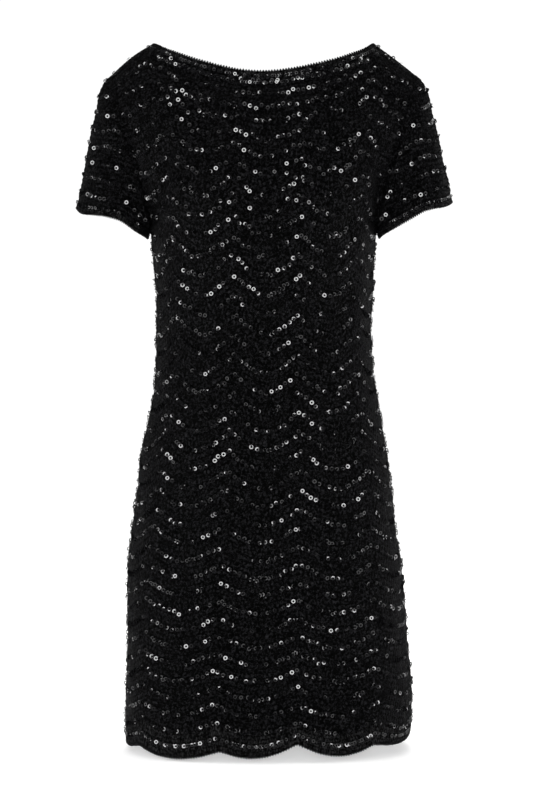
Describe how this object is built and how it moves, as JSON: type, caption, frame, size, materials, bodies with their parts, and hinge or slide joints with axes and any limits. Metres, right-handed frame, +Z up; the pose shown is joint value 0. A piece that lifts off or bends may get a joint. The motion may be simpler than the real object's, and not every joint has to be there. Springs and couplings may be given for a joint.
{
  "type": "sequinned crochet shift dress",
  "caption": "Short straight crochet shift dress, hollow as worn, with a wide boat neck, short set-in sleeves and a scalloped hem, covered with rows of ring sequins.",
  "frame": {"origin": "on the shoulder line, midway between the two corners of the neck opening, where the wearer's shoulders carry the dress", "axes": "+Z up, -Y towards the front of the dress, +X towards the wearer's left"},
  "size_m": [0.489, 0.2572, 0.9092],
  "materials": {
    "yarn": "matt black crochet yarn under rows of gloss black ring sequins",
    "edging": "matt black crochet edging with picots"
  },
  "bodies": {
    "root": {"front": "yarn", "back": "yarn", "sleeve_left": "yarn", "sleeve_right": "yarn", "neck_edging": "edging", "cuff_left": "edging", "cuff_right": "edging", "hem_edging": "edging"}
  },
  "joints": []
}
